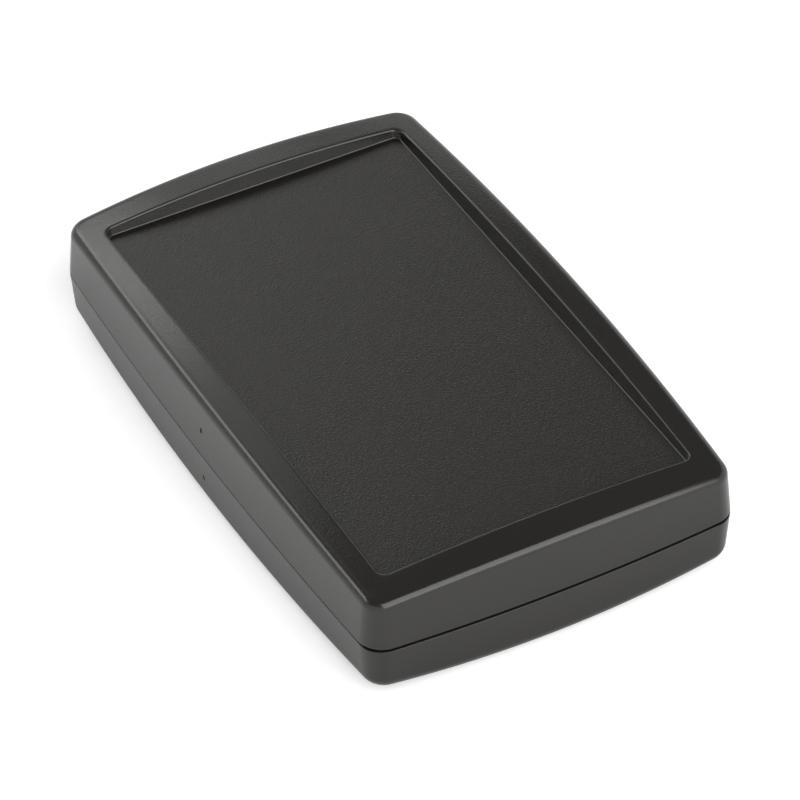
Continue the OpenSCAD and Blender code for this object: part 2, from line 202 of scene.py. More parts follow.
class EnclosureScrew(bpy.types.PropertyGroup):
    """A self-tapping pan-head screw, head down."""

    head_radius: metres("Head radius", "Radius of the head", (SCREW_HIGH.x - SCREW_LOW.x) / 2)
    head_height: metres("Head height", "Height of the head", HEAD_HEIGHT)
    head_shoulder: length("Head shoulder", "Rounding of the head's shoulder", 0.9)
    head_crown: length("Head crown", "Rise of the head's middle over its shoulder", 0.15)
    core_radius: length("Core radius", "Radius of the shank's core", 1.2)
    shank: metres("Shank length", "Length under the head",
                  SCREW_HIGH.z - SCREW_LOW.z - HEAD_HEIGHT)
    tip: length("Tip length", "Length of the cone at the tip", 1.6)
    thread_pitch: length("Thread pitch", "Distance between two turns of the thread", 1.27)
    thread_height: length("Thread height", "Height of the thread over the core", 0.3)
    slot_width: length("Slot width", "Width of a slot of the cross recess", 0.7)
    slot_span: length("Slot span", "Span of the cross recess at the head's face", 3.0)
    slot_depth: length("Slot depth", "Depth of the cross recess", 1.2)


class EnclosureFinish(bpy.types.PropertyGroup):
    """Colours and surface of the moulded plastic and the plated screws."""

    plastic: colour("Plastic", "Colour of the moulded plastic", (0.0108, 0.0099, 0.0085))
    plastic_worn: colour("Plastic, paler", "Colour of its paler patches",
                         (0.0120, 0.0111, 0.0096))
    plastic_sheen: colour("Plastic sheen", "Tint of the plastic's gloss", (0.995, 1, 0.98))
    plastic_roughness: share("Plastic roughness", "Roughness of the moulded plastic", 0.11)
    edge_roughness: share("Edge roughness", "Roughness of its plainer walls and edges", 0.2)
    grain_size: length("Grain size", "Size of the moulded grain", 0.35)
    grain_depth: length("Grain depth", "Depth of the moulded grain", 0.05)
    dust: colour("Dust", "Colour of the few specks of dust", (0.16, 0.155, 0.145))
    dust_size: length("Dust size", "Radius of a speck of dust", 0.16)
    zinc: colour("Zinc plating", "Colour of the plated screws", (0.60, 0.61, 0.63))
    zinc_shade: colour("Zinc plating, duller", "Colour of its duller patches",
                       (0.44, 0.45, 0.47))


class EnclosureStage(bpy.types.PropertyGroup):
    """Floor, lamps and camera."""

    floor_radius: metres("Floor radius", "Radius of the flat floor", 2.2)
    sweep_radius: metres("Sweep radius", "Radius of the bend from floor to backdrop", 0.8)
    backdrop_height: metres("Backdrop height", "Height of the backdrop's top edge", 1.65)
    paper: colour("Paper", "Colour of the floor and backdrop", (0.82, 0.82, 0.82))
    room: share("Room light", "Strength of the dim room round the stage", 0.22)
    camera_at: spot("Camera place", "Where the camera stands", (-0.31745, -0.60638, 0.60182))
    camera_turn: facing("Camera turn", "How the camera is turned",
                        [math.radians(a) for a in (49.0869, 0.852, -28.5011)])
    focal_length: lens("Focal length", "Focal length of the camera's lens", 233.0)


# Each lamp's place, its width and height, its watts and its turn in its own plane in degrees.
LAMPS = {
    "back_softbox": ((-1.12, 1.60, 1.56), (2.89, 0.66), 22, 0),
    "small_softbox": ((0.280, 1.966, 1.518), (0.552, 0.350), 1.25, -20),
    "dim_panel": ((0.436, 1.818, 1.660), (0.703, 1.410), 2.4, -46),
    "front_softbox": ((0.27, -1.95, 1.54), (2.77, 2.44), 75, 0),
}


def lamp_settings(name, at, size, watts, roll):
    title = name.replace("_", " ").capitalize()
    return {
        f"{name}_at": spot(f"{title} place", "Where the lamp's middle is", at),
        f"{name}_size": width_and_height(f"{title} size", "Width and height of the lamp", size),
        f"{name}_power": power(f"{title} power", "Power of the lamp", watts),
        f"{name}_roll": angle(f"{title} turn", "Turn of the lamp in its own plane", roll),
    }


for lamp_name, lamp_values in LAMPS.items():
    EnclosureStage.__annotations__.update(lamp_settings(lamp_name, *lamp_values))


# Node trees written as sums.

def summed(operation, swapped=False):
    """A wire's own way to do one kind of sum. swapped is for a wire on the right-hand side."""
    def sum_with(wire, *others):
        return wire.maths(operation, *((*others, wire) if swapped else (wire, *others)))
    return sum_with


class Wire:
    """An output in a node tree. Sums with it add the nodes that work them out."""

    def __init__(self, tree, socket):
        self.tree, self.socket = tree, socket

    def maths(self, operation, *values):
        node = self.tree.nodes.new("ShaderNodeMath")
        node.operation = operation
        for value, slot in zip(values, node.inputs):
            plug(value, slot)
        return Wire(self.tree, node.outputs[0])

    __add__ = __radd__ = summed("ADD")
    __sub__ = summed("SUBTRACT")
    __rsub__ = summed("SUBTRACT", swapped=True)
    __mul__ = __rmul__ = summed("MULTIPLY")
    __truediv__ = summed("DIVIDE")
    __rtruediv__ = summed("DIVIDE", swapped=True)
    __mod__ = summed("MODULO")
    __pow__ = summed("POWER")
    __abs__ = summed("ABSOLUTE")
    __lt__ = summed("LESS_THAN")
    __gt__ = summed("GREATER_THAN")


def either(operation, plain):
    """A function that works out plain numbers at once, and wires in their tree."""
    def work_out(*values):
        wire = next((value for value in values if isinstance(value, Wire)), None)
        return wire.maths(operation, *values) if wire else plain(*values)
    return work_out


sine, cosine, tangent = [either(name, plain) for name, plain in
                         (("SINE", math.sin), ("COSINE", math.cos), ("TANGENT", math.tan))]
direction = either("ARCTAN2", math.atan2)
square_root = either("SQRT", math.sqrt)
whole = either("FLOOR", math.floor)
smaller = either("MINIMUM", min)
larger = either("MAXIMUM", max)


def between(value):
    """The value held from 0 to 1."""
    return smaller(larger(value, 0), 1)


def mix(a, b, t):
    return a + (b - a) * t


def plug(value, slot):
    """Links a wire to a socket, or sets the socket to a plain value."""
    if isinstance(value, Wire):
        value.tree.links.new(value.socket, slot)
    else:
        slot.default_value = value


def called(sockets, name):
    """The socket in use that has the name."""
    return next(s for s in sockets if s.name == name and s.enabled)


def add(tree, kind, inputs=(), out=None, **settings):
    """Adds a node and gives the wire of its first output, or of the one that out names."""
    node = tree.nodes.new(kind)
    for name, value in settings.items():
        setattr(node, name, value)
    for name, value in dict(inputs).items():
        for one in value if isinstance(value, list) else [value]:
            plug(one, called(node.inputs, name))
    outputs = [s for s in node.outputs if s.enabled]
    return Wire(tree, called(outputs, out) if out else outputs[0])


def point(tree, x, y, z):
    return add(tree, "ShaderNodeCombineXYZ", {"X": x, "Y": y, "Z": z})


def parts(vector_wire):
    node = vector_wire.tree.nodes.new("ShaderNodeSeparateXYZ")
    plug(vector_wire, node.inputs[0])
    return [Wire(vector_wire.tree, s) for s in node.outputs]


def numbers(tree):
    """The number of each point."""
    return add(tree, "GeometryNodeInputIndex")


def stored(tree, geometry, name, value, kind="FLOAT_VECTOR"):
    """The geometry with a value of its own at each point."""
    return add(tree, "GeometryNodeStoreNamedAttribute",
               {"Geometry": geometry, "Name": name, "Value": value}, data_type=kind)


class Sizes:
    """The property groups' sizes in one tree. Each becomes a named input on its first use."""

    def __init__(self, tree, groups):
        self.tree, self.groups, self.shown = tree, groups, {}
        self.source = tree.nodes.new("NodeGroupInput")

    def __getattr__(self, key):
        if key not in self.shown:
            group = next((g for g in self.groups if key in g.bl_rna.properties), None)
            if group is None:
                raise AttributeError(f"no size is called {key}")
            self.shown[key] = group.bl_rna.properties[key].name
            value = getattr(group, key)
            self.make(self.shown[key], "Int" if isinstance(value, int) else "Float", value)
        return self.input(self.shown[key])

    def make(self, name, kind, value=None):
        """Makes a named input."""
        made = self.tree.interface.new_socket(name, in_out="INPUT",
                                              socket_type="NodeSocket" + kind)
        if value is not None:
            made.default_value = value

    def input(self, name):
        return Wire(self.tree, self.source.outputs[name])


def new_tree(name, groups):
    """A tree that gives geometry, and its sizes."""
    tree = bpy.data.node_groups.new(name, "GeometryNodeTree")
    tree.interface.new_socket("Geometry", in_out="OUTPUT", socket_type="NodeSocketGeometry")
    return tree, Sizes(tree, groups)


def give(tree, geometry):
    """Makes the geometry what the tree gives."""
    end = tree.nodes.new("NodeGroupOutput")
    tree.links.new(geometry.socket, end.inputs[0])


def finish_tree(tree, geometry, material):
    """Ends a tree: real meshes, smooth faces with sharp edges kept, and the material."""
    real = add(tree, "GeometryNodeRealizeInstances", {"Geometry": geometry})
    smooth = add(tree, "GeometryNodeSetShadeSmooth",
                 {"Geometry": real, "Shade Smooth": True}, domain="FACE")
    sharp = add(tree, "GeometryNodeInputMeshEdgeAngle") > CREASE
    crisp = add(tree, "GeometryNodeSetShadeSmooth",
                {"Geometry": smooth, "Selection": sharp, "Shade Smooth": False}, domain="EDGE")
    give(tree, add(tree, "GeometryNodeSetMaterial", {"Geometry": crisp, "Material": material}))
    return tree


def new_object(name, data):
    made = bpy.data.objects.new(name, data)
    bpy.context.scene.collection.objects.link(made)
    return made


def run_tree(name, tree, groups):
    """Runs the tree with the groups' sizes and gives its result as an object of its own."""
    piece = new_object(name, bpy.data.meshes.new(name))
    modifier = piece.modifiers.new("Shape", "NODES")
    modifier.node_group = tree
    sockets = {item.name: item.identifier for item in tree.interface.items_tree}
    for group in groups:
        for key, rna in group.bl_rna.properties.items():
            if rna.name in sockets:
                modifier[sockets[rna.name]] = getattr(group, key)
    depsgraph = bpy.context.evaluated_depsgraph_get()
    mesh = bpy.data.meshes.new_from_object(piece.evaluated_get(depsgraph))
    piece.modifiers.remove(modifier)
    piece.data = mesh
    if not mesh.polygons:
        raise RuntimeError(f"{name} came out empty")
    return piece


def build_piece(name, build_tree, material, groups, slot, *nodes):
    """Builds a piece that rides on the case and stands for its nodes."""
    piece = run_tree(name, build_tree(material, groups), groups)
    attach(piece, BODY)
    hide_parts(*nodes)


# Mouldings, made of bands that go once round the case.

def band(tree, places, rows, shape, grain=0.0):
    """Faces in rows along a closed line. shape gives a point for the share of the way across
    the rows and for the place along the line; grain says how strongly the faces are grained."""
    around = places + 1
    index = numbers(tree)
    row = whole((index + 0.5) / around)
    grid = add(tree, "GeometryNodeMeshGrid", {"Vertices X": rows, "Vertices Y": around})
    at = point(tree, *shape(row / (rows - 1), (index - row * around) % places))
    placed = add(tree, "GeometryNodeSetPosition", {"Geometry": grid, "Position": at})
    return stored(tree, placed, GRAIN, grain, "FLOAT")


def weld(tree, bands):
    joined = add(tree, "GeometryNodeJoinGeometry", {"Geometry": bands[::-1]})
    return add(tree, "GeometryNodeMergeByDistance", {"Geometry": joined, "Distance": WELD})


def outline(tree, case, recess):
    """Points round the case, and how many there are. Each holds its place on the plan and its
    way out, with the share of the parting gap's widening there. Where there is a recess, it
    holds the same for the recess's floor."""
    side_r = (case.half_length ** 2 + case.side_bow ** 2) / (case.side_bow * 2)
    end_r = (case.half_width ** 2 + case.end_bow ** 2) / (case.end_bow * 2)
    side_x, end_y = case.half_width - side_r, case.half_length - end_r
    # The corner's circle touches both arcs from inside, so its centre lies where two circles
    # about the arcs' centres meet, each smaller than its arc by the corner's radius.
    side_reach, end_reach = side_r - case.corner_radius, end_r - case.corner_radius
    span = square_root(side_x ** 2 + end_y ** 2)
    toward_x, toward_y = side_x * -1 / span, end_y / span
    along = (side_reach ** 2 - end_reach ** 2 + span ** 2) / (span * 2)
    across = square_root(side_reach ** 2 - along ** 2)
    corner_x = side_x + toward_x * along - toward_y * across
    corner_y = toward_y * along + toward_x * across
    side_end = direction(corner_y, corner_x - side_x)
    end_start = direction(corner_y - end_y, corner_x)

    quarter = case.side_parts + case.corner_parts + case.end_parts
    index = numbers(tree)
    fold = whole((index + 0.5) / quarter)
    step = index - fold * quarter
    step = mix(step, quarter - step, fold % 2)
    flip_x = 1 - (abs(fold - 1.5) < 1) * 2
    flip_y = 1 - (fold > 1.5) * 2
    on_side = between(step / case.side_parts)
    on_corner = between((step - case.side_parts) / case.corner_parts)
    on_end = between((step - case.side_parts - case.corner_parts) / case.end_parts)

    turned = (side_end * on_side + (end_start - side_end) * on_corner
              + (QUARTER - end_start) * on_end)
    at_side, at_end = on_side < 1, on_end > 0
    radius = (case.corner_radius + (side_r - case.corner_radius) * at_side
              + (end_r - case.corner_radius) * at_end)
    x = mix(mix(corner_x, side_x, at_side), 0, at_end) + radius * cosine(turned)
    y = mix(mix(corner_y, 0, at_side), end_y, at_end) + radius * sine(turned)
    widened = between((turned - side_end) / case.gap_turn)
    held = {"plan": (x * flip_x, y * flip_y, 0),
            "plan_out": (cosine(turned) * flip_x, sine(turned) * flip_y, widened)}
    if recess:
        reach_x = case.half_width - case.rim_side - case.recess_corner
        reach_y = case.half_length - case.rim_end - case.recess_corner
        out_x, out_y = cosine(on_corner * QUARTER), sine(on_corner * QUARTER)
        held["floor"] = ((reach_x * (1 - on_end) + case.recess_corner * out_x) * flip_x,
                         (reach_y * on_side + case.recess_corner * out_y) * flip_y, 0)
        held["floor_out"] = (out_x * flip_x, out_y * flip_y, 0)
    places = quarter * 4
    points = add(tree, "GeometryNodePoints", {"Count": places})
    for name, value in held.items():
        points = stored(tree, points, name, point(tree, *value))
    return points, places


class Ring:
    """What the outline's points hold at a place, read when it is first asked for."""

    def __init__(self, tree, points, at):
        self.tree, self.points, self.at = tree, points, at

    def __getattr__(self, name):
        held = add(self.tree, "GeometryNodeInputNamedAttribute", {"Name": name},
                   data_type="FLOAT_VECTOR")
        there = add(self.tree, "GeometryNodeSampleIndex",
                    {"Geometry": self.points, "Value": held, "Index": self.at},
                    data_type="FLOAT_VECTOR")
        setattr(self, name, parts(there))
        return getattr(self, name)


def moulding(tree, case, points, places, bands):
    """A closed moulding from bands, one after the other from the middle of one face to the
    middle of the other. Each is worked out in a node group of its own."""
    made = []
    for name, rows, shape, grain in bands:
        inner, sizes = new_tree(name, case.groups)
        sizes.make("Outline", "Geometry")
        sizes.make("Places", "Int")
        held = sizes.input("Outline")
        give(inner, band(
            inner, sizes.input("Places"), rows,
            lambda across, at: shape(sizes, Ring(inner, held, at), across), grain))
        node = tree.nodes.new("GeometryNodeGroup")
        node.node_tree = inner
        plug(points, node.inputs["Outline"])
        plug(places, node.inputs["Places"])
        for key, shown in sizes.shown.items():
            plug(getattr(case, key), node.inputs[shown])
        made.append(Wire(tree, node.outputs[0]))
    return weld(tree, made)


# Shapes of bands. A ring gives a point for each place round the case.

def ruled(first, second, crowd=0):
    """A band's shape with straight lines from one ring to the next."""
    def shape(case, ring, across):
        t = across - sine(across * math.tau) * crowd if crowd else across
        return [mix(a, b, t) for a, b in zip(first(case, ring), second(case, ring))]
    return shape


def flat(first, second):
    """A ruled shape for a wide band, with its inner rows crowded towards its edges."""
    return ruled(first, second, CROWD)


def rounded(ring_shape, start, end):
    """A band's shape that turns from one angle to another."""
    def shape(case, ring, across):
        return ring_shape(case, ring, mix(turn(case, start), turn(case, end), across))
    return shape


def at_turn(ring_shape, value):
    """The ring where a rounded edge has turned so far."""
    return lambda case, ring: ring_shape(case, ring, turn(case, value))


def turn(case, value):
    """An angle that is a number, or that depends on the sizes."""
    return value(case) if callable(value) else value


def moved_in(ring, inset):
    x, y, _ = ring.plan
    out_x, out_y, _ = ring.plan_out
    return x - inset * out_x, y - inset * out_y


def half_gap(case, ring):
    return mix(case.side_gap, case.end_gap, ring.plan_out[2]) / 2


def lip_edge(side):
    """The rounded outer edge of a lip, from the wall to the lip at a quarter turn. side is 1
    for the upper half's lip and -1 for the lower half's."""
    def ring_shape(case, ring, turned):
        r = case.lip_round
        x, y = moved_in(ring, r * (1 - cosine(turned)))
        return x, y, case.parting + (half_gap(case, ring) + r * (1 - sine(turned))) * side
    return ring_shape


def level(inset, z):
    """A ring moved in from the plan, at a height. Both are worked out from the sizes."""
    return lambda case, ring: (*moved_in(ring, inset(case)), z(case))


def lip(inset, side):
    """The ring on a lip at the parting line, moved in from the plan."""
    return lambda case, ring: (*moved_in(ring, inset(case)),
                               case.parting + half_gap(case, ring) * side)


def middle(z):
    """A ring of no width, at the middle of a face."""
    return lambda case, ring: (0, 0, z(case))


lean, wall, tongue_top = attrgetter("wall_lean"), attrgetter("wall"), attrgetter("tongue_top")


# Solids that are added to the mouldings or cut from them.

def corner_points(tree, x, y, z):
    """Four points at plus and minus x and y."""
    index = numbers(tree)
    sign_x, sign_y = (index > 1.5) * 2 - 1, (index % 2) * 2 - 1
    return add(tree, "GeometryNodePoints",
               {"Count": 4, "Position": point(tree, sign_x * x, sign_y * y, z)})


def at_corners(tree, x, y, z, solid):
    """The solid, standing on z, at the four corners, as real meshes."""
    placed = add(tree, "GeometryNodeInstanceOnPoints",
                 {"Points": corner_points(tree, x, y, z), "Instance": solid})
    return add(tree, "GeometryNodeRealizeInstances", {"Geometry": placed})


def moved(tree, solid, x, y, z, scale=(1, 1, 1)):
    return add(tree, "GeometryNodeTransform",
               {"Geometry": solid, "Translation": point(tree, x, y, z), "Scale": scale})


def columns(tree, x, y, radius, foot, top):
    """Four round columns at plus and minus x and y."""
    height = top - foot
    made = add(tree, "GeometryNodeMeshCylinder", {"Vertices": POST_SIDES, "Side Segments": 1,
                                                  "Radius": radius, "Depth": height})
    return at_corners(tree, x, y, foot, moved(tree, made, 0, 0, height / 2))


def block(tree, low, high):
    """A box between two corners, each given as x, y and z."""
    cube = add(tree, "GeometryNodeMeshCube",
               {"Size": point(tree, *[b - a for a, b in zip(low, high)])})
    return moved(tree, cube, *[(a + b) / 2 for a, b in zip(low, high)])


def mirrored(tree, solid):
    """The solid at +x +y, and its copies turned or mirrored into the other three corners."""
    copies = []
    for x in (1, -1):
        for y in (1, -1):
            copy = add(tree, "GeometryNodeTransform", {"Geometry": solid, "Scale": (x, y, 1)})
            copies.append(copy if x == y else add(tree, "GeometryNodeFlipFaces", {"Mesh": copy}))
    return copies


def ribs(tree, side_x, end_y, foot, top):
    """Ribs from each screw's post out to side_x and to end_y."""
    side = block(tree, (SCREW_X, SCREW_Y - HALF_RIB, foot), (side_x, SCREW_Y + HALF_RIB, top))
    end = block(tree, (SCREW_X - HALF_RIB, SCREW_Y, foot), (SCREW_X + HALF_RIB, end_y, top))
    return [*mirrored(tree, side), *mirrored(tree, end)]


def walls_by_screw(case, inset):
    """How far out the side and the end are beside a screw, less what they are inset."""
    return (case.half_width - inset - case.side_bow * (SCREW_Y / case.half_length) ** 2,
            case.half_length - inset - case.end_bow * (SCREW_X / case.half_width) ** 2)


def gate_mark(tree, case, height):
    """The pit that a gate left in the middle of the long side at -x."""
    leaned = tangent(case.wall_lean) * abs(height - case.parting)
    ball = add(tree, "GeometryNodeMeshUVSphere", {"Segments": 24, "Rings": 12, "Radius": 1})
    return moved(tree, ball, leaned - case.half_width, GATE_Y, height, GATE_SIZE)


def united(tree, solids):
    return add(tree, "GeometryNodeMeshBoolean", {"Mesh": solids}, operation="UNION",
               solver="MANIFOLD")


def cut(tree, solid, tools):
    return add(tree, "GeometryNodeMeshBoolean", {"Mesh 1": solid, "Mesh 2": tools},
               operation="DIFFERENCE", solver="MANIFOLD")


# The upper half.

def crown_height(case, x, y):
    return (case.parting + case.crown - case.side_drop * (x / case.half_width) ** 2
            - case.end_drop * (y / case.half_length) ** 2)


def under_crown(case, ring, turned, radius, inset=0, under=0):
    """The ring at an angle of a rounded top edge, inset from the wall and under the crown."""
    x, y, _ = ring.plan
    start = crown_height(case, x, y) - under - radius * (1 - sine(case.wall_lean))
    away = (inset + tangent(case.wall_lean) * (start - case.parting)
            + radius * (cosine(case.wall_lean) - cosine(turned)))
    x, y = moved_in(ring, away)
    return x, y, crown_height(case, x, y) - under - radius * (1 - sine(turned))


def top_edge(case, ring, turned):
    return under_crown(case, ring, turned, case.top_round)


def roof_edge(case, ring, turned):
    return under_crown(case, ring, turned, case.roof_round, case.wall, case.roof)


def steep(case):
    """What the recess's wall turns through from a level face."""
    return QUARTER - case.recess_lean


def out_of_floor(ring, away):
    x, y, _ = ring.floor
    out_x, out_y, _ = ring.floor_out
    return x + out_x * away, y + out_y * away


def recess_edge(case, ring, turned):
    """The rounded upper edge of the recess, from the rim down into the wall."""
    slope = tangent(case.recess_lean)
    rise = crown_height(case, *out_of_floor(ring, 0)) - case.recess_height
    # The wall leans out under a crown that falls away, so its top is found in steps.
    for _ in range(2):
        rise = crown_height(case, *out_of_floor(ring, rise * slope)) - case.recess_height
    away = rise * slope + case.recess_edge * (tangent(steep(case) / 2) - sine(turned))
    x, y = out_of_floor(ring, away)
    return x, y, crown_height(case, x, y) - case.recess_edge * (1 - cosine(turned))


def recess_foot(case, ring, turned):
    away = case.recess_foot * (sine(turned) - tangent(steep(case) / 2))
    return (*out_of_floor(ring, away),
            case.recess_height + case.recess_foot * (1 - cosine(turned)))


def rim(case, ring, across):
    inner, outer = recess_edge(case, ring, 0), top_edge(case, ring, QUARTER)
    x, y = [mix(a, b, across) for a, b in zip(inner[:2], outer[:2])]
    return x, y, crown_height(case, x, y)


def roof_under(case):
    return case.recess_height - case.roof


def backing_away(case, z):
    return (case.roof / cosine(case.recess_lean)
            + (z - case.recess_height) * tangent(case.recess_lean))


def backing_foot(case, ring):
    """The ring round the underside of the recess's floor."""
    return *out_of_floor(ring, backing_away(case, roof_under(case))), roof_under(case)


def backing_top(case, ring):
    """The ring where the plastic behind the recess's wall meets the roof."""
    z = case.recess_height
    # Found in steps, as the recess's edge is.
    for _ in range(3):
        z = crown_height(case, *out_of_floor(ring, backing_away(case, z))) - case.roof
    return *out_of_floor(ring, backing_away(case, z)), z


def rebate_in(case):
    return case.wall - case.tongue - case.tongue_play


def rebate_top(case):
    return case.parting + case.rebate


def wall_in(case):
    """How far the inside of the wall is from the plan at the rebate's top."""
    return case.wall + tangent(case.wall_lean) * case.rebate


RECESS_FLOOR = middle(attrgetter("recess_height"))
# Each band's name, rows, shape and how strongly it is grained.
UPPER_BANDS = (
    ("Recess floor", 4, flat(RECESS_FLOOR, at_turn(recess_foot, 0)), 1.0),
    ("Recess foot", 7, rounded(recess_foot, 0, steep), 0.05),
    ("Recess wall", 4, flat(at_turn(recess_foot, steep), at_turn(recess_edge, steep)), 0.3),
    ("Recess edge", 8, rounded(recess_edge, steep, 0), 0.02),
    ("Rim", 10, rim, 0.25),
    ("Top edge", 14, rounded(top_edge, QUARTER, lean), 0.04),
    ("Wall", 4, flat(at_turn(top_edge, lean), at_turn(lip_edge(1), 0)), 0.05),
    ("Lip edge", 4, rounded(lip_edge(1), 0, QUARTER), 0.0),
    ("Lip", 2, ruled(at_turn(lip_edge(1), QUARTER), lip(rebate_in, 1)), 0.0),
    ("Rebate side", 2, ruled(lip(rebate_in, 1), level(rebate_in, rebate_top)), 0.0),
    ("Rebate top", 2, ruled(level(rebate_in, rebate_top), level(wall_in, rebate_top)), 0.0),
    ("Wall inside", 4, flat(level(wall_in, rebate_top), at_turn(roof_edge, lean)), 0.0),
    ("Roof edge", 5, rounded(roof_edge, lean, QUARTER), 0.0),
    ("Roof", 4, flat(at_turn(roof_edge, QUARTER), backing_top), 0.0),
    ("Recess backing", 4, flat(backing_top, backing_foot), 0.0),
    ("Recess underside", 2, ruled(backing_foot, middle(roof_under)), 0.0),
)


def build_upper_tree(material, groups):
    tree, case = new_tree("Upper half", groups)
    shell = moulding(tree, case, *outline(tree, case, recess=True), UPPER_BANDS)
    into_roof = roof_under(case) + case.roof / 2
    solid = united(tree, [
        shell,
        columns(tree, SCREW_X, SCREW_Y, case.post_radius, case.post_end, into_roof),
        columns(tree, case.standoff_x, case.standoff_y, case.standoff_radius,
                case.standoff_end, into_roof),
        *ribs(tree, *walls_by_screw(case, wall_in(case)), rebate_top(case),
              case.recess_height - UPPER_RIB_DROP),
    ])
    solid = cut(tree, solid, [
        columns(tree, SCREW_X, SCREW_Y, case.pilot_radius, case.post_end - REACH,
                case.pilot_top),
        columns(tree, case.standoff_x, case.standoff_y, case.standoff_hole,
                case.standoff_end - REACH, into_roof),
        gate_mark(tree, case, case.gate_height),
    ])
    return finish_tree(tree, solid, material)


# The lower half.

def belly_height(case, x, y):
    return (case.side_rise * (x / case.half_width) ** 2
            + case.end_rise * (y / case.half_length) ** 2 - case.base_cut)


def over_belly(case, ring, turned, radius, inset=0, over=0):
    """The ring at an angle of a rounded bottom edge, inset from the wall and over the belly."""
    x, y, _ = ring.plan
    start = belly_height(case, x, y) + over + radius * (1 - sine(case.wall_lean))
    away = (inset + tangent(case.wall_lean) * (case.parting - start)
            + radius * (cosine(case.wall_lean) - cosine(turned)))
    x, y = moved_in(ring, away)
    return x, y, larger(belly_height(case, x, y) + over + radius * (1 - sine(turned)), over)


def bottom_edge(case, ring, turned):
    return over_belly(case, ring, turned, case.bottom_round)


def floor_edge(case, ring, turned):
    return over_belly(case, ring, turned, case.floor_round, case.wall, case.floor)


def belly(case, ring, across, edge=bottom_edge, over=0):
    """From the line where the belly meets the flat base, out to the rounded edge."""
    x, y, _ = edge(case, ring, QUARTER)
    inside = square_root(case.base_cut / (belly_height(case, x, y) + case.base_cut))
    # The flat base always ends a little inside the edge.
    t = mix(smaller(inside, 0.98), 1, across)
    return x * t, y * t, larger(belly_height(case, x * t, y * t), 0) + over


def floor(case, ring, across):
    return belly(case, ring, across, floor_edge, case.floor)


def floor_middle(case, ring):
    return floor(case, ring, 0)


def base_edge(case, ring):
    return belly(case, ring, 0)


def tongue_in(case):
    return case.wall - case.tongue


# The rings round the tongue, from its foot outside to its foot inside.
TONGUE = (
    lip(tongue_in, -1),
    level(tongue_in, lambda case: case.tongue_top - case.tongue_lead),
    level(lambda case: tongue_in(case) + case.tongue_lead, tongue_top),
    level(wall, tongue_top),
    level(wall, attrgetter("parting")),
)
# Each band's name, rows, shape and how strongly it is grained.
LOWER_BANDS = (
    ("Floor middle", 2, ruled(middle(attrgetter("floor")), floor_middle), 0.0),
    ("Floor", 8, floor, 0.0),
    ("Floor edge", 5, rounded(floor_edge, QUARTER, lean), 0.0),
    ("Wall inside", 4, flat(at_turn(floor_edge, lean), TONGUE[4]), 0.0),
    ("Tongue inside", 2, ruled(TONGUE[4], TONGUE[3]), 0.0),
    ("Tongue top", 2, ruled(TONGUE[3], TONGUE[2]), 0.0),
    ("Tongue lead", 2, ruled(TONGUE[2], TONGUE[1]), 0.0),
    ("Tongue outside", 2, ruled(TONGUE[1], TONGUE[0]), 0.0),
    ("Lip", 2, ruled(TONGUE[0], at_turn(lip_edge(-1), QUARTER)), 0.0),
    ("Lip edge", 4, rounded(lip_edge(-1), QUARTER, 0), 0.0),
    ("Wall", 4, flat(at_turn(lip_edge(-1), 0), at_turn(bottom_edge, lean)), 0.05),
    ("Bottom edge", 16, rounded(bottom_edge, lean, QUARTER), 0.05),
    ("Belly", 12, lambda case, ring, across: belly(case, ring, 1 - across), 0.4),
    ("Base", 2, ruled(base_edge, middle(lambda case: 0)), 0.4),
)


def build_lower_tree(material, groups):
    tree, case = new_tree("Lower half", groups)
    shell = moulding(tree, case, *outline(tree, case, recess=False), LOWER_BANDS)
    into_floor = case.floor / 2
    mouth = belly_height(case, SCREW_X, SCREW_Y)
    post_foot = mouth + into_floor
    standoff_foot = larger(belly_height(case, case.standoff_x, case.standoff_y), 0) + into_floor
    rib_top = case.post_end - LOWER_RIB_DROP
    side_x, end_y = walls_by_screw(case, case.wall - RIB_DIG)
    # The ribs' undersides step up where the floor's edge is rounded.
    back = case.bottom_round
    solid = united(tree, [
        shell,
        columns(tree, SCREW_X, SCREW_Y, case.post_radius, post_foot, case.post_end),
        columns(tree, case.standoff_x, case.standoff_y, case.standoff_radius, standoff_foot,
                case.standoff_end),
        *ribs(tree, side_x - back, end_y - back, post_foot, rib_top),
        *ribs(tree, side_x, end_y, post_foot + back, rib_top),
    ])
    lead = add(tree, "GeometryNodeMeshCone",
               {"Vertices": POST_SIDES, "Radius Top": case.head_bore - case.bore_lead,
                "Radius Bottom": case.head_bore + case.bore_lead * 3,
                "Depth": case.bore_lead * 4})
    solid = cut(tree, solid, [
        columns(tree, SCREW_X, SCREW_Y, case.head_bore, -REACH, case.seat),
        columns(tree, SCREW_X, SCREW_Y, case.sleeve_radius, case.seat - REACH,
                case.post_end + REACH),
        columns(tree, case.standoff_x, case.standoff_y, case.standoff_hole,
                case.standoff_end - case.standoff_depth, case.standoff_end + REACH),
        at_corners(tree, SCREW_X, SCREW_Y, mouth - case.bore_lead, lead),
        gate_mark(tree, case, case.gate_height),
    ])
    return finish_tree(tree, solid, material)


# The screws.

# How steep the thread's ridge is, and how many turns under the head it starts.
RIDGE_SLOPE, RIDGE_START = 3.4, 0.6
# How much narrower the cross recess is at its bottom.
SLOT_TAPER = 0.45


def threaded(screw, radius, height, a):
    """The radius with the thread's ridge on it, which runs out at both ends."""
    turns = height / screw.thread_pitch
    # The whole turns keep the phase above zero.
    phase = turns - a / math.tau + 8
    ridge = larger(1 - abs(phase - whole(phase) - 0.5) * RIDGE_SLOPE, 0)
    fade = between(turns - RIDGE_START) * between((screw.shank - height) / screw.tip)
    return radius + screw.thread_height * ridge * fade, height


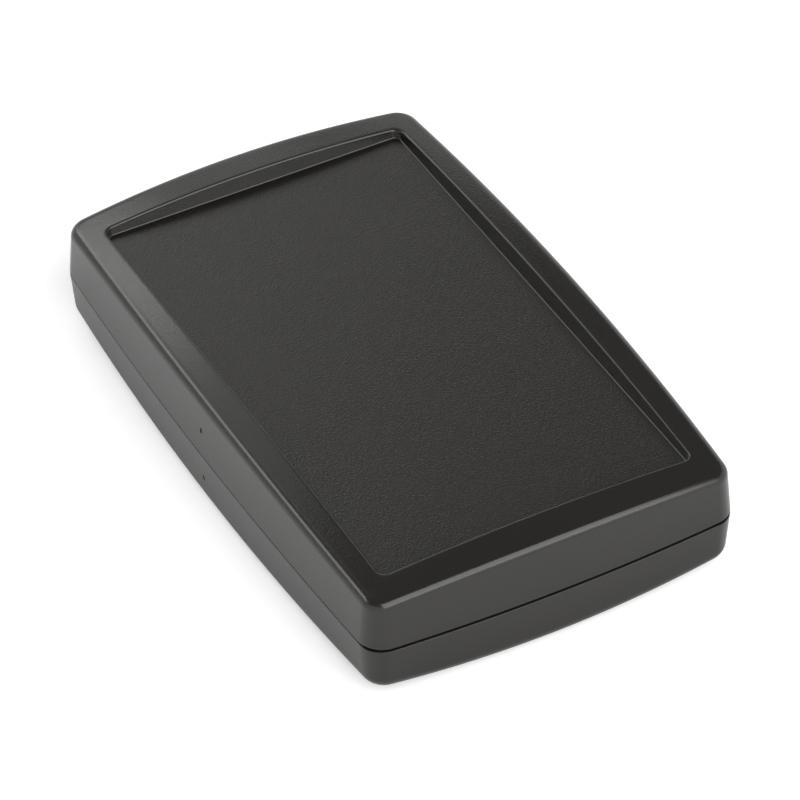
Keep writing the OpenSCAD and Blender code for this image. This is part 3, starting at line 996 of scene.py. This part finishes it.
def cross_slots(tree, screw):
    """The two slots of the cross recess, which narrow towards its bottom."""
    low = screw.head_height * -1
    for x, y in ((screw.slot_span, screw.slot_width), (screw.slot_width, screw.slot_span)):
        bar = block(tree, (x / -2, y / -2, low * 1.2), (x / 2, y / 2, screw.slot_depth + low))
        at_x, at_y, at_z = parts(add(tree, "GeometryNodeInputPosition"))
        narrow = 1 - between((at_z - low) / screw.slot_depth) * SLOT_TAPER
        yield add(tree, "GeometryNodeSetPosition", {
            "Geometry": bar, "Position": point(tree, at_x * narrow, at_y * narrow, at_z)})


def build_screw_tree(material, groups):
    tree, screw = new_tree("Case screws", groups)
    shoulder_in = screw.head_radius - screw.head_shoulder
    face = screw.head_crown - screw.head_height
    # Rows and profile of the tip, the core, the seat, the head's side, its shoulder and its
    # face. A profile gives the radius and height for the share of the way and the angle.
    profiles = (
        (16, lambda t, a: threaded(screw, screw.core_radius * t, screw.shank - screw.tip * t, a)),
        (110, lambda t, a: threaded(screw, screw.core_radius,
                                    (screw.shank - screw.tip) * (1 - t), a)),
        (3, lambda t, a: (mix(screw.core_radius, screw.head_radius, t), 0)),
        (3, lambda t, a: (screw.head_radius, (face + screw.head_shoulder) * t)),
        (9, lambda t, a: (shoulder_in + screw.head_shoulder * cosine(t * QUARTER),
                          face + screw.head_shoulder * (1 - sine(t * QUARTER)))),
        (7, lambda t, a: (shoulder_in * (1 - t), face - screw.head_crown * (1 - (1 - t) ** 2))),
    )

    def turned(rows, profile):
        """A band turned round the screw's axis."""
        def shape(across, at):
            a = at / SCREW_SIDES * math.tau
            radius, height = profile(across, a)
            return radius * cosine(a), radius * sine(a), height
        return band(tree, SCREW_SIDES, rows, shape)

    body = weld(tree, [turned(rows, profile) for rows, profile in profiles])
    made = cut(tree, body, list(cross_slots(tree, screw)))
    spin = add(tree, "FunctionNodeRandomValue",
               {"Min": 0.0, "Max": QUARTER, "ID": numbers(tree), "Seed": 7}, data_type="FLOAT")
    seats = corner_points(tree, SCREW_X, SCREW_Y, SCREW_HIGH.z - screw.shank)
    placed = add(tree, "GeometryNodeInstanceOnPoints",
                 {"Points": seats, "Instance": made, "Rotation": point(tree, 0, 0, spin)})
    return finish_tree(tree, placed, material)


# Finishes.

# Space between the places where a speck of dust may lie, and how few of them have one.
DUST_CELL, DUST_RARITY = 7 * MM, 0.86
# Sizes of the plastic's patches, of the plating's patches and grain, and of the paper's fibre.
PLASTIC_CLOUD, ZINC_CLOUD, ZINC_GRAIN, PAPER_FIBRE = 22 * MM, 1.1 * MM, 0.12 * MM, 30 * MM
# The paper's own light for the eye: between which distances it rises, and from what to what.
LIFT_NEAR, LIFT_FAR, LIFT_LOW, LIFT_HIGH = 0.25, 1.1, 0.42, 0.85
# Its own light for gloss, and how far outside the case that is at full strength. Nearer the case
# it fades to nothing, a painted shade on the floor that the plastic reflects near its foot.
GLOSS_LIFT, GLOSS_FULL = 0.35, 20 * MM


class Shader:
    """A material's node tree with its surface shader."""

    def __init__(self, name):
        self.material = bpy.data.materials.new(name)
        self.material.use_nodes = True
        self.tree = self.material.node_tree
        self.surface = self.tree.nodes["Principled BSDF"]
        self.end = self.tree.nodes["Material Output"]
        self.where = add(self.tree, "ShaderNodeTexCoord", out="Object")

    def look(self, name, value):
        plug(value, self.surface.inputs[name])

    def noise(self, size, detail=2, roughness=0.5):
        return add(self.tree, "ShaderNodeTexNoise",
                   {"Vector": self.where, "Scale": 1 / size, "Detail": detail,
                    "Roughness": roughness})

    def cells(self, size, out="Distance"):
        return add(self.tree, "ShaderNodeTexVoronoi", {"Vector": self.where, "Scale": 1 / size},
                   out=out, feature="F1")

    def ramp(self, value, low, high, first=0, last=1):
        return add(self.tree, "ShaderNodeMapRange",
                   {"Value": value, "From Min": low, "From Max": high, "To Min": first,
                    "To Max": last})

    def blend(self, factor, first, second):
        """A mix of two colours, each a wire or three numbers."""
        first, second = [one if isinstance(one, Wire) else (*one, 1) for one in (first, second)]
        return add(self.tree, "ShaderNodeMix", {"Factor": factor, "A": first, "B": second},
                   data_type="RGBA")

    def relief(self, height, strength, depth):
        self.look("Normal", add(self.tree, "ShaderNodeBump", {
            "Height": height, "Strength": strength, "Distance": depth}))


def plastic_material(finish):
    """Near-black moulded plastic: fine grain on the faces, plainer walls, a little dust."""
    shader = Shader("Moulded plastic")
    grained = add(shader.tree, "ShaderNodeAttribute", out="Fac", attribute_name=GRAIN)
    cloud = shader.noise(PLASTIC_CLOUD, detail=3)
    fine = shader.noise(finish.grain_size * 0.9, roughness=0.6)
    tone = shader.blend(shader.ramp(cloud + (fine - 0.5) * 0.5, 0.3, 0.7), finish.plastic,
                        finish.plastic_worn)
    facing_up = parts(add(shader.tree, "ShaderNodeNewGeometry", out="Normal"))[2]
    chance = parts(shader.cells(DUST_CELL, "Color"))[0]
    dusty = ((shader.cells(DUST_CELL) < finish.dust_size / DUST_CELL) * (chance > DUST_RARITY)
             * (facing_up > 0.6))
    shader.look("Base Color", shader.blend(dusty * 0.8, tone, finish.dust))
    shader.look("Specular Tint", (*finish.plastic_sheen, 1))
    rough = shader.ramp(grained, 0.05, 0.25, finish.edge_roughness, finish.plastic_roughness)
    shader.look("Roughness", rough + shader.ramp(fine, 0.35, 0.65, -0.05, 0.05))
    shader.relief((shader.cells(finish.grain_size) * 0.6 + fine * 0.8) * grained, 1.0,
                  finish.grain_depth)
    return shader.material


def zinc_material(finish):
    """Bright zinc plating, a little uneven."""
    shader = Shader("Zinc plating")
    cloud = shader.noise(ZINC_CLOUD, detail=3)
    fine = shader.noise(ZINC_GRAIN)
    shader.look("Base Color", shader.blend(shader.ramp(cloud, 0.35, 0.7), finish.zinc,
                                           finish.zinc_shade))
    shader.look("Metallic", 1)
    shader.look("Roughness", shader.ramp(cloud * 0.5 + fine * 0.5, 0.3, 0.7, 0.26, 0.4))
    shader.relief(fine, 0.4, 0.01 * MM)
    return shader.material


def paper_material(stage):
    """Pale paper. What the lamps leave short of white is made up for the eye, for gloss and
    for glass, less so near the object, where its shadow lies."""
    shader = Shader("Studio paper")
    tree = shader.tree
    shader.look("Roughness", 0.9)
    shader.look("Specular IOR Level", 0.1)
    shader.look("Base Color", shader.blend(shader.noise(PAPER_FIBRE, detail=4), stage.paper,
                                           [0.98 * c for c in stage.paper]))
    path = tree.nodes.new("ShaderNodeLightPath")
    camera, gloss, through = [Wire(tree, path.outputs[f"Is {ray} Ray"])
                              for ray in ("Camera", "Glossy", "Transmission")]
    far = add(tree, "ShaderNodeVectorMath", {"Vector": shader.where}, out="Value",
              operation="LENGTH")
    x, y, _ = parts(shader.where)
    outside = larger(abs(x) - UPPER_HIGH.x, abs(y) - UPPER_HIGH.y)
    clear = shader.ramp(far, LIFT_NEAR, LIFT_FAR, LIFT_LOW, LIFT_HIGH)
    # For gloss the glow fades to nothing at the case's outline: painted shade round the object in
    # what its plastic reflects.
    lift = (clear * smaller(camera + through, 1)
            + gloss * GLOSS_LIFT * between(outside / GLOSS_FULL))
    glow = add(tree, "ShaderNodeEmission", {"Color": (1, 1, 1, 1), "Strength": lift})
    both = tree.nodes.new("ShaderNodeAddShader")
    tree.links.new(shader.surface.outputs[0], both.inputs[0])
    tree.links.new(glow.socket, both.inputs[1])
    tree.links.new(both.outputs[0], shader.end.inputs["Surface"])
    return shader.material


def plastic(scene):
    """The plastic's material, made once for both halves."""
    return bpy.data.materials.get("Moulded plastic") or plastic_material(scene.enclosure_finish)


# The stage.

# Divisions of the paper's bend, and all round it.
BEND_PARTS, PAPER_PARTS = 12, 96


def build_paper(stage):
    """A flat floor that bends up into a low backdrop all round."""
    bends = [i / BEND_PARTS * QUARTER for i in range(BEND_PARTS + 1)]
    profile = [(stage.floor_radius + stage.sweep_radius * math.sin(a),
                stage.sweep_radius * (1 - math.cos(a))) for a in bends]
    profile.append((stage.floor_radius + stage.sweep_radius, stage.backdrop_height))
    points, faces = [Vector((0, 0, 0))], []
    for radius, z in profile:
        for i in range(PAPER_PARTS):
            a = i / PAPER_PARTS * math.tau
            points.append(Vector((radius * math.cos(a), radius * math.sin(a), z)))
    for i in range(PAPER_PARTS):
        j = (i + 1) % PAPER_PARTS
        faces.append((0, 1 + i, 1 + j))
        for low in range(1, len(points) - PAPER_PARTS, PAPER_PARTS):
            high = low + PAPER_PARTS
            faces.append((low + i, high + i, high + j, low + j))
    mesh = bpy.data.meshes.new("studio_paper")
    mesh.from_pydata(points, [], faces)
    mesh.shade_smooth()
    mesh.materials.append(paper_material(stage))
    new_object("studio_paper", mesh)


def build_lamp(name, place, size, watts, roll):
    """A softbox that faces the object."""
    data = bpy.data.lights.new(name, "AREA")
    data.shape = "RECTANGLE"
    data.size, data.size_y = size
    data.energy = watts
    lamp = new_object(name, data)
    lamp.location = place
    turned = Vector(place).to_track_quat("Z", "Y") @ Quaternion((0, 0, 1), roll)
    lamp.rotation_euler = turned.to_euler()
    lamp.visible_camera = False


def build_room(scene, stage):
    world = bpy.data.worlds.new("Dim room")
    world.use_nodes = True
    back = world.node_tree.nodes["Background"]
    back.inputs["Color"].default_value = (1, 1, 1, 1)
    back.inputs["Strength"].default_value = stage.room
    scene.world = world


def build_camera(scene, stage):
    data = bpy.data.cameras.new("photo_view")
    data.sensor_width = 36
    data.lens = stage.focal_length
    camera = new_object("photo_view", data)
    camera.location = stage.camera_at
    camera.rotation_euler = stage.camera_turn
    scene.camera = camera
    scene.view_settings.view_transform = "Standard"


# Operators, sidebar and the run itself.

class ENCLOSURE_OT_build_upper(bpy.types.Operator):
    """Build the upper half: crown, recess, wall, posts and standoffs in one moulding"""

    bl_idname = "enclosure.build_upper"
    bl_label = "Upper half"

    def execute(self, context):
        scene = context.scene
        build_piece("upper_half", build_upper_tree, plastic(scene),
                    (scene.enclosure_plan, scene.enclosure_upper), "case_plastic", "upper_shell")
        return {"FINISHED"}


class ENCLOSURE_OT_build_lower(bpy.types.Operator):
    """Build the lower half: walls with their tongue, crowned underside, posts and standoffs"""

    bl_idname = "enclosure.build_lower"
    bl_label = "Lower half"

    def execute(self, context):
        scene = context.scene
        build_piece("lower_half", build_lower_tree, plastic(scene),
                    (scene.enclosure_plan, scene.enclosure_lower), "case_plastic", "lower_shell")
        return {"FINISHED"}


class ENCLOSURE_OT_build_screws(bpy.types.Operator):
    """Build the four screws that hold the halves together"""

    bl_idname = "enclosure.build_screws"
    bl_label = "Case screws"

    def execute(self, context):
        scene = context.scene
        build_piece("case_screws", build_screw_tree, zinc_material(scene.enclosure_finish),
                    (scene.enclosure_screw,), "screw_steel", *SCREW_NODES)
        return {"FINISHED"}


class ENCLOSURE_OT_build_stage(bpy.types.Operator):
    """Build the floor with its backdrop, the softboxes, the dim room and the camera"""

    bl_idname = "enclosure.build_stage"
    bl_label = "Stage"

    def execute(self, context):
        stage = context.scene.enclosure_stage
        build_paper(stage)
        for name in LAMPS:
            build_lamp(name, *[getattr(stage, f"{name}_{key}")
                               for key in ("at", "size", "power", "roll")])
        build_room(context.scene, stage)
        build_camera(context.scene, stage)
        return {"FINISHED"}


class ENCLOSURE_PT_sidebar(bpy.types.Panel):
    """Sizes, finishes and the steps that build the enclosure"""

    bl_idname = "ENCLOSURE_PT_sidebar"
    bl_label = "Enclosure"
    bl_space_type = "VIEW_3D"
    bl_region_type = "UI"
    bl_category = "Enclosure"

    def draw(self, context):
        for step in STEPS:
            self.layout.operator(step.bl_idname)
        for name in GROUPS:
            box = self.layout.box()
            box.label(text=name.replace("_", " ").capitalize())
            group = getattr(context.scene, name)
            for key in group.bl_rna.properties.keys():
                if key not in ("rna_type", "name"):
                    box.prop(group, key)


STEPS = (ENCLOSURE_OT_build_stage, ENCLOSURE_OT_build_upper, ENCLOSURE_OT_build_lower,
         ENCLOSURE_OT_build_screws)
GROUPS = {"enclosure_plan": EnclosurePlan, "enclosure_upper": EnclosureUpper,
          "enclosure_lower": EnclosureLower, "enclosure_screw": EnclosureScrew,
          "enclosure_finish": EnclosureFinish, "enclosure_stage": EnclosureStage}
CLASSES = (*GROUPS.values(), *STEPS, ENCLOSURE_PT_sidebar)


def register():
    for one in CLASSES:
        bpy.utils.register_class(one)
    for name, group in GROUPS.items():
        setattr(bpy.types.Scene, name, PointerProperty(type=group))


def unregister():
    for name in GROUPS:
        delattr(bpy.types.Scene, name)
    for one in reversed(CLASSES):
        bpy.utils.unregister_class(one)


def main():
    register()
    bpy.ops.enclosure.build_stage()
    bpy.ops.enclosure.build_upper()
    bpy.ops.enclosure.build_lower()
    bpy.ops.enclosure.build_screws()


if __name__ == "__main__":
    main()
